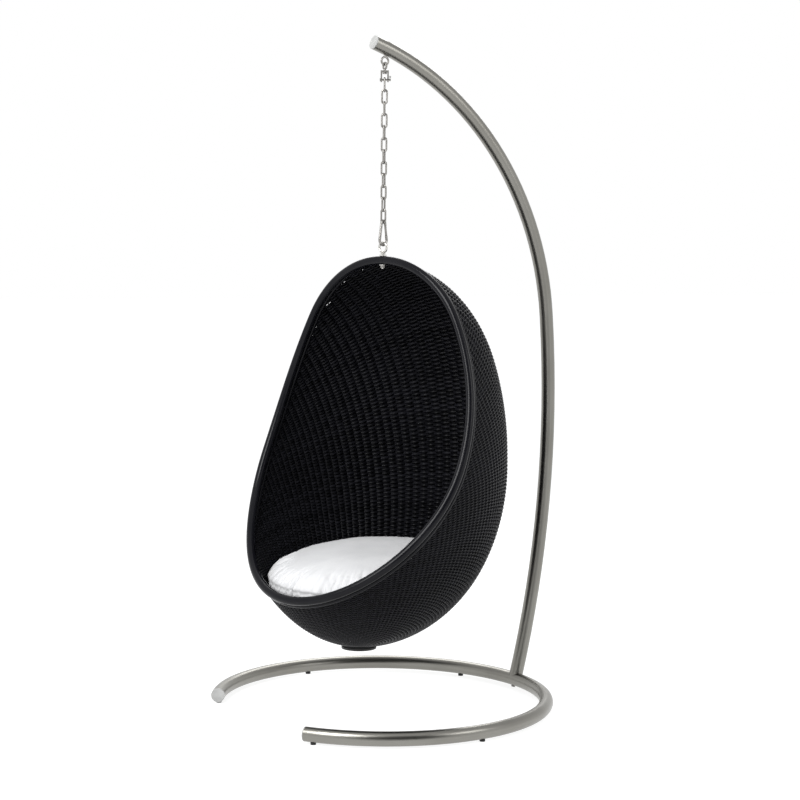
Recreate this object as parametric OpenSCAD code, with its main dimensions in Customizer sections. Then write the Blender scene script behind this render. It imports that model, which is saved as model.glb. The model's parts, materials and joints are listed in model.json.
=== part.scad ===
// Hanging egg chair on a C-shaped floor ring with one curved mast.
// Millimetres, +Z up. The mast stands at +Y, the ring's gap faces -Y.
// Origin: middle of the bounding box's bottom, on the floor.

/* [Floor ring] */
// Radius of the ring's centreline
ring_r = 495; // [420:5:600]
// Outer diameter of the ring's and mast's tube
tube_d = 42; // [34:1:50]
// Wall of the ring's and mast's tube
tube_wall = 2.5; // [2:0.5:4]
// Angle of the ring's open gap
ring_gap = 65; // [40:1:90]
// Angle from the mast to the seam between the ring's two tubes
seam_turn = 12; // [10:1:20]
// Length of the sleeve inside the seam, as an angle
sleeve_turn = 14; // [8:1:20]
// Height of a foot under the tube
foot_h = 6; // [6:1:12]
// Diameter of a foot
foot_d = 16; // [12:1:24]
// Distance of the outermost feet from the tube's ends, as an angle
foot_inset = 3; // [2:0.5:8]
// Diameter of a foot's stem
foot_stem_d = 6; // [5:0.5:8]
// Length of a foot's stem inside the tube
foot_stem_l = 8; // [6:1:12]
// Thickness of the flat of an end plug
plug_t = 2.5; // [2:0.5:5]
// Length of an end plug's spigot
plug_l = 14; // [8:1:24]

/* [Mast] */
// Outward lean of the mast at the ring
mast_lean = 15; // [8:0.5:20]
// Radius of the mast's lower bend
mast_low_r = 3305; // [2800:5:3800]
// Inward lean of the mast where its upper bend starts
mast_turn = 4.9; // [2:0.1:8]
// Straight length between the mast's two bends
mast_straight = 10; // [4:1:60]
// Radius of the mast's upper bend
mast_high_r = 928; // [880:2:990]
// Inward lean of the mast at its tip
mast_tip = 72.3; // [68:0.1:78]
// Height of the spigot inside the mast's foot, along its bend
spigot_l = 90; // [60:5:160]
// Diameter of the mast's bolt
bolt_d = 8; // [6:1:10]
// Length of the bolt above the ring's centreline
bolt_l = 64; // [45:1:80]
// Diameter of the bolt's low head
bolt_head_d = 12; // [11:0.5:16]
// Height of the bolt's low head
bolt_head_h = 3; // [2:0.5:4]
// Thickness of the bolt's washer
bolt_washer_t = 1; // [0.8:0.1:2]

/* [Hanging gear] */
// Distance of the hanging axis in front of the ring's centre
hang_front = 11; // [0:1:20]
// Distance from the mast's underside down to the top eye's centre
top_eye_drop = 17; // [16:0.5:26]
// Outer diameter of the top eye
top_eye_d = 29; // [27:0.5:36]
// Wire diameter of the top eye and the swivel's eye
eye_wire = 6; // [5:0.5:7]
// Outer diameter of the swivel's eye
swivel_eye_d = 24; // [22:0.5:28]
// Diameter of the swivel's stem
swivel_stem_d = 7; // [6:0.5:9]
// Diameter of the swivel stem's head
swivel_head_d = 12; // [10:0.5:13]
// Height of the swivel stem's head
swivel_head_h = 3.5; // [2:0.5:5]
// Thickness of the swivel's washer
swivel_washer_t = 1.2; // [0.8:0.1:2]
// Gap between the swivel's eye and its jaw
swivel_neck = 1.5; // [1:0.5:5]
// Outer width of the swivel's jaw
jaw_w = 24; // [22:0.5:30]
// Thickness of the jaw's legs
jaw_leg = 4.5; // [3.5:0.5:6]
// Thickness of the jaw's crown
jaw_crown = 5; // [4:0.5:8]
// Depth of the jaw across its pin
jaw_depth = 13; // [12:0.5:18]
// Distance from the jaw's top to its pin
jaw_len = 27; // [26:0.5:34]
// Diameter of the jaw's pin
pin_d = 6; // [5:0.5:7]
// Diameter of the jaw pin's head
pin_head_d = 9; // [8:0.5:11]
// Height of the jaw pin's head
pin_head_h = 2; // [1.5:0.5:4]
// Length of the jaw pin beyond the far leg
pin_tail = 6; // [5:0.5:10]
// Diameter of the split pin
cotter_d = 1.6; // [1:0.1:2]
// Length of the split pin
cotter_l = 12; // [9:1:18]
// Turn of the jaw and chain about the hanging axis
gear_yaw = 58; // [0:1:90]

/* [Chain] */
// Number of links
link_count = 12; // [12]
// Inner length of a link
link_len = 35.3; // [33:0.1:42]
// Outer width of a link
link_w = 20; // [19:0.5:26]
// Wire diameter of a link
link_wire = 5.5; // [4.5:0.5:6]
// Twist from each link to the next
link_twist = -3; // [-3:0.5:3]

/* [Carabiner] */
// Outer length of the carabiner
car_len = 80; // [74:1:90]
// Outer width of the carabiner's lower end
car_w = 38; // [36:1:46]
// Outer width of the carabiner's upper end
car_top_w = 23; // [20:0.5:26]
// Wire diameter of the carabiner
car_wire = 8; // [7:0.5:8]
// Diameter of the gate
gate_d = 6.8; // [6:0.2:7.6]
// Distance of the gate's pivot from the lower bend's end
gate_pivot = 9; // [8:0.5:11]
// Length of the gate above its pivot
gate_len = 31; // [26:0.5:32]
// Thickness of the gate's tongue
gate_tongue = 3; // [2.4:0.2:3.6]
// Diameter of the gate's pin
gate_pin_d = 2.5; // [2:0.1:3]
// Outer diameter of the gate's spring
gate_spring_d = 3; // [2.4:0.1:3.4]
// Length of the gate's spring
gate_spring_l = 12; // [8:1:16]

/* [Chair eye] */
// Outer diameter of the chair's eye
chair_eye_d = 36; // [34:1:46]
// Wire diameter of the chair's eye
chair_eye_wire = 7; // [6:0.5:8]
// Diameter of the collar under the eye
collar_d = 15; // [13:0.5:20]
// Height of the collar under the eye
collar_h = 3.5; // [3:0.5:8]
// Diameter of the eye's shank
shank_d = 8; // [6:0.5:10]
// Diameter of the washers
washer_d = 22; // [18:1:26]
// Thickness of the washers
washer_t = 2.5; // [1.5:0.5:4]
// Width of the nut across its corners
nut_w = 15; // [13:0.5:18]
// Height of the nut
nut_h = 6.5; // [5:0.5:9]
// Length of the shank below the nut
shank_tail = 3; // [1:0.5:6]

/* [Egg] */
// Turn of the chair about the hanging axis
chair_yaw = 16; // [-30:1:30]
// Diameter of the rim's tube
rim_d = 26; // [22:1:30]
// Wall of the rim's tube
rim_wall = 2; // [1.5:0.5:3]
// Half of the rim's width, on its centreline
rim_half_w = 387; // [350:1:420]
// Radius of the rim's sides
rim_side_r = 880; // [800:10:1100]
// Radius of the rim's top
rim_top_r = 323; // [280:1:340]
// How far the rim's lower end lies in front of its top
rim_forward = 385; // [340:5:420]
// How far the rim's sides are set back at mid-height
rim_bow = 137; // [100:1:170]
// How much more the lower half is set back than the upper half
rim_skew = 31; // [0:1:50]
// Diameter of the border rod behind the rim
rod_d = 13; // [10:1:16]
// Thickness of the woven wall
weave_t = 5; // [4:0.5:9]
// Distance of the egg's middle in front of the hanging axis
egg_front = 110; // [90:5:130]
// Distance of the egg's widest level below the rim's top
egg_drop = 620; // [590:5:650]
// Half-width of the egg
egg_half_w = 388; // [360:1:420]
// Depth of the egg behind its middle
egg_back = 516; // [480:2:540]
// Depth of the egg before its middle
egg_fore = 428; // [400:2:460]
// Height of the egg above its widest level
egg_up = 590; // [560:5:640]
// Depth of the egg below its widest level
egg_down = 548; // [520:2:570]
// Fullness of the egg above its widest level, 2 is an ellipse
egg_full = 2.3; // [2:0.05:2.6]
// Diameter of the disc under the egg
base_d = 104; // [80:2:140]
// Thickness of the disc under the egg
base_t = 9; // [6:0.5:16]
// Height of the egg's flat bottom above its lowest curve
base_flat = 29; // [27:0.5:36]
// Distance of the disc in front of the hanging axis
base_front = 90; // [70:1:110]

/* [Cushion] */
// Diameter of the cushion
cushion_d = 568; // [480:4:576]
// Height of the cushion above its seam
cushion_up = 62; // [40:1:80]
// Depth of the cushion below its seam
cushion_down = 76; // [60:1:90]
// Distance of the cushion's middle in front of the hanging axis
cushion_front = 33; // [10:1:60]
// Height of the cushion's seam above the egg's lowest curve
cushion_lift = 240.5; // [240:0.5:270]
// Backward rise of the cushion
cushion_tilt = 5; // [0:0.5:10]

/* [Fits] */
// Gap between pieces that hang in or rest on each other
seat_gap = 0.3; // [0.2:0.05:0.4]
// Radial clearance of a pin or stem that turns
run_gap = 0.08; // [0.03:0.01:0.1]
// Radial clearance of a plug, bolt or spigot that stays put
plug_gap = 0.15; // [0.1:0.05:0.3]

/* [Hidden] */
$fn = 64;

steel = [0.66, 0.65, 0.62];
zinc = [0.55, 0.55, 0.53];
black = [0.07, 0.07, 0.08];
canvas = [0.93, 0.93, 0.92];

// A straight between two bends laps into them, a hair under their surface
flush = 0.04;
lap = 0.8;

// Floor ring
tube_r = tube_d / 2;
bore_r = tube_r - tube_wall;
ring_z = foot_h + tube_r;
ring_end = 180 - ring_gap / 2;
foot_angles = [27, 87, ring_end - foot_inset];
plug_turn = plug_t / ring_r * 180 / PI;

// Mast: two bends in the plane x = 0, each [y, z] of its centre. The coped foot ends in short
// flats above the ring's centreline.
foot_cut = 6;
low_c = [ring_r - mast_low_r * cos(mast_lean), ring_z + mast_low_r * sin(mast_lean)];
turn_at = low_c + mast_low_r * [cos(mast_turn), sin(mast_turn)];
high_c = turn_at + mast_straight * [-sin(mast_turn), cos(mast_turn)]
    - mast_high_r * [cos(mast_turn), sin(mast_turn)];
tip = high_c + mast_high_r * [cos(mast_tip), sin(mast_tip)];
back_reach = low_c[0] + mast_low_r + tube_r;
front_reach = (ring_r + tube_r) * cos(ring_gap / 2);
y_mid = (back_reach - front_reach) / 2;

// Hanging gear, heights from the mast's underside down
hang_y = -hang_front;
hang_turn = acos((hang_y - high_c[0]) / mast_high_r);
under_z = high_c[1] + mast_high_r * sin(hang_turn) - tube_r / sin(hang_turn);
top_eye_z = under_z - top_eye_drop;
eye_wire_r = eye_wire / 2;
top_eye_r = top_eye_d / 2 - eye_wire_r;
top_stem_r = eye_wire_r + 0.5;
top_stem_up = 14;
swivel_eye_r = swivel_eye_d / 2 - eye_wire_r;
swivel_top_z = top_eye_z - top_eye_r + 2 * eye_wire_r + seat_gap;
swivel_low_z = swivel_top_z - 2 * swivel_eye_r;
jaw_z = swivel_low_z - eye_wire_r - swivel_neck;
crown_low_z = jaw_z - jaw_crown;
swivel_head_z = crown_low_z - swivel_washer_t - 2 * seat_gap - swivel_head_h;
pin_z = jaw_z - jaw_len;
pin_r = pin_d / 2;
jaw_foot = pin_r + 4;

// Chain: height of each link's upper wire
wire_r = link_wire / 2;
link_span = link_len + link_wire;
link_pitch = link_len - seat_gap;
link_top_z = pin_z + pin_r + wire_r + seat_gap;
function link_z(i) = link_top_z - i * link_pitch;
function link_yaw(i) = gear_yaw + 90 * ((i + 1) % 2) + link_twist * i;
chain_low_z = link_z(link_count - 1) - link_span;

// Carabiner: centres and radii of its two bends, on the wire's centreline
car_r = car_wire / 2;
car_low_r = car_w / 2 - car_r;
car_up_r = car_top_w / 2 - car_r;
car_top_z = chain_low_z + wire_r + car_r + seat_gap;
car_low_z = car_top_z - (car_len - car_wire);
car_span = car_len - car_wire - car_low_r - car_up_r;
car_flare = asin((car_low_r - car_up_r) / car_span);
car_side = car_span * cos(car_flare);
car_yaw = chair_yaw + 90;
gate_tip_gap = 0.4;
gate_slot = gate_tongue + 2 * plug_gap;
nose_l = car_side - gate_pivot - gate_len - gate_tip_gap;

// Chair eye and the height of the rim's top
chair_wire_r = chair_eye_wire / 2;
chair_eye_r = chair_eye_d / 2 - chair_wire_r;
chair_eye_z = car_low_z + car_r + chair_wire_r + seat_gap - chair_eye_r;
eye_foot_z = chair_eye_z - chair_eye_r - chair_wire_r;
rim_r = rim_d / 2;
rim_z = eye_foot_z - collar_h - washer_t - 2 * seat_gap - rim_r;
nut_z = rim_z - rim_r - washer_t - 2 * seat_gap - nut_h;

// Rim: a semicircle below, two side arcs and a top arc above
top_c = sqrt(pow(rim_side_r - rim_top_r, 2) - pow(rim_side_r - rim_half_w, 2));
side_turn = atan2(top_c, rim_side_r - rim_half_w);
side_l = rim_side_r * side_turn * PI / 180;
top_l = rim_top_r * (90 - side_turn) * PI / 180;
rim_h = top_c + rim_top_r + rim_half_w;
rim_steps = 72;
rim_sides = 12;
rod_sides = 10;

function side_pt(l) = [rim_half_w - rim_side_r + rim_side_r * cos(l / rim_side_r * 180 / PI),
                       rim_side_r * sin(l / rim_side_r * 180 / PI)];
function cap_pt(l) = let(t = side_turn + l / rim_top_r * 180 / PI)
    [rim_top_r * cos(t), top_c + rim_top_r * sin(t)];
function upper_pt(f) = let(l = f * (side_l + top_l)) l < side_l ? side_pt(l) : cap_pt(l - side_l);
function flip(p) = [-p[0], p[1]];
function oval_pt(u) = u > 180 ? rim_half_w * [cos(u), sin(u)]
    : u <= 90 ? upper_pt(u / 90) : flip(upper_pt((180 - u) / 90));
function rim_pt(u) = let(p = oval_pt(u), s = (top_c + rim_top_r - p[1]) / rim_h, b = 4 * s * (1 - s))
    [p[0], -rim_forward * s + rim_bow * b + rim_skew * b * (2 * s - 1), rim_z - s * rim_h];

// Egg: a rounded body about its middle, drawn in or out towards the rim
egg_c = [0, -egg_front, rim_z - egg_drop];
egg_low_z = egg_c[2] - egg_down;
mouth = [0, -cos(12), sin(12)];
draw_start = 0.35;
shell_rows = 22;
function unit(v) = v / norm(v);
function smooth(t) = let(c = min(max(t, 0), 1)) c * c * (3 - 2 * c);
function egg_r(d) = let(
    ay = d[1] > 0 ? egg_back : egg_fore,
    az = d[2] > 0 ? egg_up : egg_down,
    n = d[2] > 0 ? egg_full : 2,
    flat = pow(d[0] / egg_half_w, 2) + pow(d[1] / ay, 2))
    pow(pow(flat, n / 2) + pow(abs(d[2]) / az, n), -1 / n);
// Everything that a line from the back of the egg to the rim at u needs
function ray(u) = let(
    arm = rim_pt(u) - egg_c,
    d = unit(arm),
    side = unit(d - (d * mouth) * mouth))
    [side, acos(d * mouth), norm(arm) / egg_r(d) - 1, norm(arm)];
// Point of the egg on that line: v is 0 at the back and 1 at the rim, t is added to the radius
function egg_pt(r, v, t) = let(
    b = 180 + (r[1] - 180) * v,
    d = cos(b) * mouth + sin(b) * r[0])
    egg_c + d * (egg_r(d) * (1 + r[2] * smooth((v - draw_start) / (1 - draw_start))) + t);
// Direction of the rim's centreline, and the distance of w from a line in direction t
function rim_way(u) = unit(rim_pt(u + 0.5) - rim_pt(u - 0.5));
function off_line(w, t) = norm(w - (w * t) * t);
// v at which the egg is a distance away from the rim's centreline, by halving
function edge_v(r, p, t, away, lo = 0.8, hi = 1, n = 14) = n == 0 ? (lo + hi) / 2
    : let(m = (lo + hi) / 2)
    off_line(egg_pt(r, m, 0) - p, t) > away ? edge_v(r, p, t, away, m, hi, n - 1)
                                            : edge_v(r, p, t, away, lo, m, n - 1);
rod_r = rod_d / 2;
rod_away = rim_r + rod_r + seat_gap;
edge_away = rod_away + rod_r + seat_gap;
flat_z = egg_low_z + base_flat - weave_t / 2;
function rest_on(p, z) = [p[0], p[1], max(p[2], z)];

// Cushion
cushion_r = cushion_d / 2;
cushion_z = egg_low_z + cushion_lift;
cushion_steps = 12;
function cushion_pt(a) = [cushion_r * pow(abs(cos(a)), 0.6),
    a > 0 ? cushion_up * pow(sin(a), 0.9) : -cushion_down * pow(-sin(a), 0.9)];

module place() translate([0, -y_mid, 0]) children();
module on_axis(yaw) place() translate([0, hang_y, 0]) rotate([0, 0, yaw]) children();
// Turns a shape drawn in the XY plane into the YZ plane or the XZ plane
module to_yz() rotate([90, 0, 90]) children();
module to_xz() rotate([90, 0, 0]) children();

module tube_section(outer, inner) difference() {
    circle(outer, $fn = 48);
    if (inner > 0) circle(inner, $fn = 48);
}

module wire_ring(r, wire) rotate_extrude() translate([r, 0]) circle(wire);

// Part of the floor ring between two angles from the mast
module ring_bar(outer, inner, from = -ring_end, to = ring_end)
    translate([0, 0, ring_z]) rotate([0, 0, 90 + from])
    rotate_extrude(angle = to - from, $fn = 180) translate([ring_r, 0]) tube_section(outer, inner);

// Places a child at an angle from the mast along the ring, +X outwards
module round_ring(a) rotate([0, 0, 90 + a]) translate([ring_r, 0, 0]) children();

// Upright along the mast's lean at the ring's centreline
module at_mast_foot() translate([0, ring_r, ring_z]) rotate([-mast_lean, 0, 0]) children();

module foot_stem(r) translate([0, 0, foot_h - 1]) cylinder(r = r, h = foot_stem_l);

module foot_holes(angles) for (a = angles) round_ring(a) foot_stem(foot_stem_d / 2 + plug_gap);

// The tube that carries the mast
module ring_long_tube() color(steel) place() difference() {
    ring_bar(tube_r, bore_r, plug_turn - ring_end, seam_turn);
    foot_holes(-foot_angles);
    at_mast_foot() translate([0, 0, -tube_r - 1]) cylinder(r = bolt_d / 2 + plug_gap, h = tube_d + 2);
}

module ring_short_tube() color(steel) place() difference() {
    ring_bar(tube_r, bore_r, seam_turn + seat_gap / ring_r * 180 / PI, ring_end - plug_turn);
    foot_holes(foot_angles);
}

module ring_sleeve() color(zinc) place()
    ring_bar(bore_r - plug_gap, bore_r - plug_gap - tube_wall,
             seam_turn - sleeve_turn / 2, seam_turn + sleeve_turn / 2);

module end_plug(s) rotate([0, 0, 90 + s * (ring_end - plug_turn)]) translate([ring_r, 0, ring_z])
    rotate([-s * 90, 0, 0]) {
        cylinder(r = tube_r, h = plug_t);
        translate([0, 0, -plug_l]) cylinder(r = bore_r - 2 * plug_gap, h = plug_l + plug_t / 2);
    }

module ring_end_plugs() color([0.72, 0.72, 0.7]) place() for (s = [-1, 1]) end_plug(s);

module ring_feet() color(black) place() for (s = [-1, 1], a = foot_angles) {
    difference() {
        round_ring(s * a) cylinder(d = foot_d, h = foot_h + 1.5);
        ring_bar(tube_r + plug_gap, 0);
    }
    round_ring(s * a) translate([0, 0, foot_h / 2])
        cylinder(d = foot_stem_d, h = foot_h / 2 + foot_stem_l - 1);
}

// Mast, coped at its foot over the ring and drilled for the top eye
module mast() color(steel) place() difference() {
    translate([0, turn_at[0], turn_at[1]]) to_yz() rotate([0, 0, mast_turn]) union() {
        translate([-mast_low_r, 0, 0]) rotate([180, 0, 0])
            rotate_extrude(angle = mast_lean + mast_turn - foot_cut / mast_low_r * 180 / PI, $fn = 360)
            translate([mast_low_r, 0]) tube_section(tube_r, bore_r);
        translate([0, -lap, 0]) rotate([-90, 0, 0]) difference() {
            cylinder(r = tube_r - flush, h = mast_straight + 2 * lap);
            translate([0, 0, -1]) cylinder(r = bore_r + flush, h = mast_straight + 2 * lap + 2);
        }
        translate([-mast_high_r, mast_straight, 0])
            rotate_extrude(angle = mast_tip - mast_turn, $fn = 360)
            translate([mast_high_r, 0]) tube_section(tube_r, bore_r);
    }
    ring_bar(tube_r + plug_gap, 0);
    translate([0, hang_y, under_z - tube_r]) cylinder(r = top_stem_r + plug_gap, h = tube_r + top_stem_up);
}

module mast_spigot() color(zinc) place() difference() {
    translate([0, ring_r, ring_z]) to_yz() rotate([0, 0, -mast_lean]) translate([-mast_low_r, 0, 0])
        rotate_extrude(angle = spigot_l / mast_low_r * 180 / PI, $fn = 720) translate([mast_low_r, 0])
        circle(bore_r - plug_gap, $fn = 48);
    ring_bar(tube_r + plug_gap, 0);
    at_mast_foot() cylinder(r = bolt_d / 2 + plug_gap, h = bolt_l + 2);
}

bolt_seat = tube_r + bolt_washer_t + 2 * plug_gap;

module mast_bolt() color(zinc) place() at_mast_foot() {
    translate([0, 0, -bolt_seat - bolt_head_h]) cylinder(d = bolt_head_d, h = bolt_head_h);
    translate([0, 0, -bolt_seat - bolt_head_h / 2])
        cylinder(d = bolt_d, h = bolt_seat + bolt_head_h / 2 + bolt_l);
}

// Flat ring lying in the XY plane
module flat_ring(outer, inner_r, t) difference() {
    cylinder(d = outer, h = t);
    translate([0, 0, -1]) cylinder(r = inner_r, h = t + 2);
}

module mast_washer() color(zinc) place() at_mast_foot() translate([0, 0, plug_gap - bolt_seat])
    flat_ring(bolt_head_d + 2, bolt_d / 2 + plug_gap, bolt_washer_t);

module mast_end_cap() color(zinc) place() translate([0, tip[0], tip[1]]) rotate([mast_tip, 0, 0]) {
    cylinder(r = tube_r, h = plug_t);
    translate([0, 0, -plug_l]) cylinder(r = bore_r - 2 * plug_gap, h = plug_l + plug_t / 2);
}

module top_eye() color(zinc) on_axis(0) {
    translate([0, 0, top_eye_z]) to_yz() wire_ring(top_eye_r, eye_wire_r);
    translate([0, 0, top_eye_z + top_eye_r])
        cylinder(r = top_stem_r, h = top_eye_drop - top_eye_r + top_stem_up);
}

module swivel_eye() color(zinc) on_axis(0) {
    translate([0, 0, swivel_top_z - swivel_eye_r]) to_xz() wire_ring(swivel_eye_r, eye_wire_r);
    translate([0, 0, swivel_head_z]) cylinder(d = swivel_head_d, h = swivel_head_h);
    translate([0, 0, swivel_head_z + swivel_head_h / 2])
        cylinder(d = swivel_stem_d, h = swivel_low_z - swivel_head_z - swivel_head_h / 2);
}

module swivel_washer() color(zinc) on_axis(0) translate([0, 0, crown_low_z - seat_gap - swivel_washer_t])
    flat_ring(swivel_head_d, swivel_stem_d / 2 + run_gap, swivel_washer_t);

module swivel_jaw() color(zinc) on_axis(gear_yaw) difference() {
    intersection() {
        translate([-jaw_w / 2, -jaw_depth / 2, pin_z - jaw_foot])
            cube([jaw_w, jaw_depth, jaw_len + jaw_foot]);
        translate([0, 0, pin_z]) rotate([0, 90, 0]) union() {
            cylinder(r = jaw_foot, h = jaw_w + 2, center = true);
            translate([-jaw_len, -jaw_depth, -jaw_w]) cube([jaw_len, 2 * jaw_depth, 2 * jaw_w]);
        }
    }
    translate([jaw_leg - jaw_w / 2, -jaw_depth, pin_z - jaw_foot - 1])
        cube([jaw_w - 2 * jaw_leg, 2 * jaw_depth, jaw_len + jaw_foot - jaw_crown + 1]);
    translate([0, 0, crown_low_z - 1]) cylinder(r = swivel_stem_d / 2 + run_gap, h = jaw_crown + 2);
    translate([0, 0, pin_z]) rotate([0, 90, 0]) cylinder(r = pin_r + plug_gap, h = jaw_w + 2, center = true);
}

cotter_x = jaw_w / 2 + pin_tail - 2;

module jaw_pin() color(zinc) on_axis(gear_yaw) translate([0, 0, pin_z]) difference() {
    rotate([0, 90, 0]) {
        translate([0, 0, -jaw_w / 2 - seat_gap - pin_head_h]) cylinder(d = pin_head_d, h = pin_head_h);
        translate([0, 0, -jaw_w / 2 - seat_gap - pin_head_h / 2])
            cylinder(d = pin_d, h = jaw_w + seat_gap + pin_head_h / 2 + pin_tail);
    }
    translate([cotter_x, 0, 0]) cylinder(r = cotter_d / 2 + plug_gap, h = pin_d + 2, center = true);
}

module jaw_split_pin() color(zinc) on_axis(gear_yaw) translate([cotter_x, 0, pin_z]) {
    translate([0, 0, cotter_d / 2 - cotter_l / 2 + 1]) cylinder(d = cotter_d, h = cotter_l);
    translate([0, 0, cotter_l / 2 + 2.5]) to_xz() wire_ring(2, cotter_d / 2);
}

// One link: its upper wire's centre is at the origin, its loop lies in the XZ plane
module link_shape() {
    r = link_w / 2 - wire_r;
    for (s = [0, 1]) translate([0, 0, s == 0 ? -r : r - link_span]) mirror([0, 0, s])
        to_xz() rotate_extrude(angle = 180) translate([r, 0]) circle(wire_r);
    for (s = [-1, 1]) translate([s * r, 0, r - link_span]) cylinder(r = wire_r, h = link_span - 2 * r);
}

module chain_link(i) color(zinc) on_axis(link_yaw(i)) translate([0, 0, link_z(i)]) link_shape();

// Carabiner frame: X across it, Z up, origin at the centre of its lower bend
module in_carabiner() on_axis(car_yaw) translate([0, 0, car_low_z + car_low_r]) children();
// Along one straight side, Z up the side, X outwards
module along_side(s) rotate([0, s * -car_flare, 0]) translate([s * car_low_r, 0, 0]) children();

module carabiner_body() color(zinc) in_carabiner() difference() {
    union() {
        to_xz() rotate([0, 0, 180 - car_flare]) rotate_extrude(angle = 180 + 2 * car_flare)
            translate([car_low_r, 0]) circle(car_r);
        translate([0, 0, car_span]) to_xz() rotate([0, 0, car_flare])
            rotate_extrude(angle = 180 - 2 * car_flare) translate([car_up_r, 0]) circle(car_r);
        along_side(-1) translate([0, 0, -lap]) cylinder(r = car_r - flush, h = car_side + 2 * lap);
        along_side(1) translate([0, 0, -lap]) cylinder(r = car_r - flush, h = gate_pivot + 3 + lap);
        along_side(1) translate([0, 0, car_side - nose_l]) cylinder(r = car_r - flush, h = nose_l + lap);
    }
    along_side(1) {
        translate([-car_wire, -gate_slot / 2, gate_pivot - 4.5]) cube([2 * car_wire, gate_slot, 8]);
        translate([0, 0, gate_pivot]) rotate([90, 0, 0])
            cylinder(r = gate_pin_d / 2 + plug_gap / 2, h = 2 * car_wire, center = true);
    }
}

gate_root = 4.4;

module at_gate() in_carabiner() along_side(1) translate([0, 0, gate_pivot]) children();

module carabiner_gate() color(zinc) at_gate() difference() {
    union() {
        translate([0, 0, gate_root]) cylinder(d = gate_d, h = gate_len - gate_root);
        intersection() {
            translate([0, 0, -3]) cylinder(d = gate_d, h = gate_root + 4);
            translate([-car_wire, -gate_tongue / 2, -car_wire])
                cube([2 * car_wire, gate_tongue, 3 * car_wire]);
        }
    }
    rotate([90, 0, 0]) cylinder(r = gate_pin_d / 2 + run_gap, h = car_wire, center = true);
    translate([0, 0, gate_root + 2])
        cylinder(r = gate_spring_d / 2 + plug_gap, h = gate_spring_l + 2 * seat_gap);
}

module gate_pin() color(steel) at_gate() rotate([90, 0, 0])
    cylinder(d = gate_pin_d, h = car_wire - 0.6, center = true);

module gate_spring() color(steel) at_gate() translate([0, 0, gate_root + 2 + seat_gap])
    flat_ring(gate_spring_d, gate_spring_d / 2 - 0.5, gate_spring_l);

module chair_eye() color(steel) on_axis(chair_yaw) {
    translate([0, 0, chair_eye_z]) to_xz() wire_ring(chair_eye_r, chair_wire_r);
    translate([0, 0, eye_foot_z - collar_h]) cylinder(d = collar_d, h = collar_h + 1);
    translate([0, 0, nut_z - shank_tail]) cylinder(d = shank_d, h = eye_foot_z - nut_z + shank_tail);
}

// One washer on the rim and one under it
module eye_washer() color(steel) on_axis(chair_yaw)
    for (z = [rim_z + rim_r + seat_gap, rim_z - rim_r - seat_gap - washer_t]) translate([0, 0, z])
        flat_ring(washer_d, shank_d / 2 + plug_gap, washer_t);

module eye_nut() color(steel) on_axis(chair_yaw) translate([0, 0, nut_z]) difference() {
    cylinder(d = nut_w, h = nut_h, $fn = 6);
    translate([0, 0, -1]) cylinder(r = shank_d / 2 + plug_gap, h = nut_h + 2);
}

// Closed tube through a loop of points, as one polyhedron
module loop_tube(pts, r, sides) {
    n = len(pts);
    rings = [for (i = [0:n - 1]) let(
        t = unit(pts[(i + 1) % n] - pts[(i + n - 1) % n]),
        e = pts[i] - egg_c,
        a = unit(e - (e * t) * t),
        b = cross(t, a))
        for (j = [0:sides - 1]) pts[i] + r * (cos(j * 360 / sides) * a + sin(j * 360 / sides) * b)];
    faces = [for (i = [0:n - 1], j = [0:sides - 1]) let(k = (i + 1) % n, m = (j + 1) % sides)
        [i * sides + j, k * sides + j, k * sides + m, i * sides + m]];
    polyhedron(rings, faces, convexity = 6);
}

rim_line = [for (i = [0:rim_steps - 1]) rim_pt(i * 360 / rim_steps)];
rays = [for (i = [0:rim_steps - 1]) ray(i * 360 / rim_steps)];
rim_ways = [for (i = [0:rim_steps - 1]) rim_way(i * 360 / rim_steps)];
rod_line = [for (i = [0:rim_steps - 1])
    egg_pt(rays[i], edge_v(rays[i], rim_line[i], rim_ways[i], rod_away), 0)];
edge_vs = [for (i = [0:rim_steps - 1]) edge_v(rays[i], rim_line[i], rim_ways[i], edge_away)];

module rim_tube() color(black) on_axis(chair_yaw) difference() {
    loop_tube(rim_line, rim_r, rim_sides);
    loop_tube(rim_line, rim_r - rim_wall, rim_sides);
    translate([0, 0, rim_z - 2 * rim_r]) cylinder(r = shank_d / 2 + plug_gap, h = 4 * rim_r);
}

module border_rod() color(black) on_axis(chair_yaw) loop_tube(rod_line, rod_r, rod_sides);

// Woven wall: an outer and an inner skin from the back of the egg to the border rod
module woven_shell() color([0.1, 0.1, 0.11]) on_axis(chair_yaw) {
    n = rim_steps;
    skin = 1 + n * shell_rows;
    outer = [for (r = [1:shell_rows], i = [0:n - 1])
        rest_on(egg_pt(rays[i], edge_vs[i] * r / shell_rows, weave_t / 2), flat_z)];
    inner = [for (r = [1:shell_rows], i = [0:n - 1])
        rest_on(egg_pt(rays[i], edge_vs[i] * r / shell_rows, -weave_t / 2), flat_z + weave_t)];
    pts = concat([egg_pt(rays[0], 0, weave_t / 2)], outer, [egg_pt(rays[0], 0, -weave_t / 2)], inner);
    last = 1 + n * (shell_rows - 1);
    polyhedron(pts, concat(
        [for (i = [0:n - 1]) let(k = (i + 1) % n) [0, 1 + i, 1 + k]],
        [for (i = [0:n - 1]) let(k = (i + 1) % n) [skin, skin + 1 + k, skin + 1 + i]],
        [for (r = [0:shell_rows - 2], i = [0:n - 1]) let(k = (i + 1) % n, a = 1 + r * n, b = a + n)
            [a + i, b + i, b + k, a + k]],
        [for (r = [0:shell_rows - 2], i = [0:n - 1]) let(k = (i + 1) % n, a = skin + 1 + r * n, b = a + n)
            [a + i, a + k, b + k, b + i]],
        [for (i = [0:n - 1]) let(k = (i + 1) % n) [last + i, skin + last + i, skin + last + k, last + k]]),
        convexity = 6);
}

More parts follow.
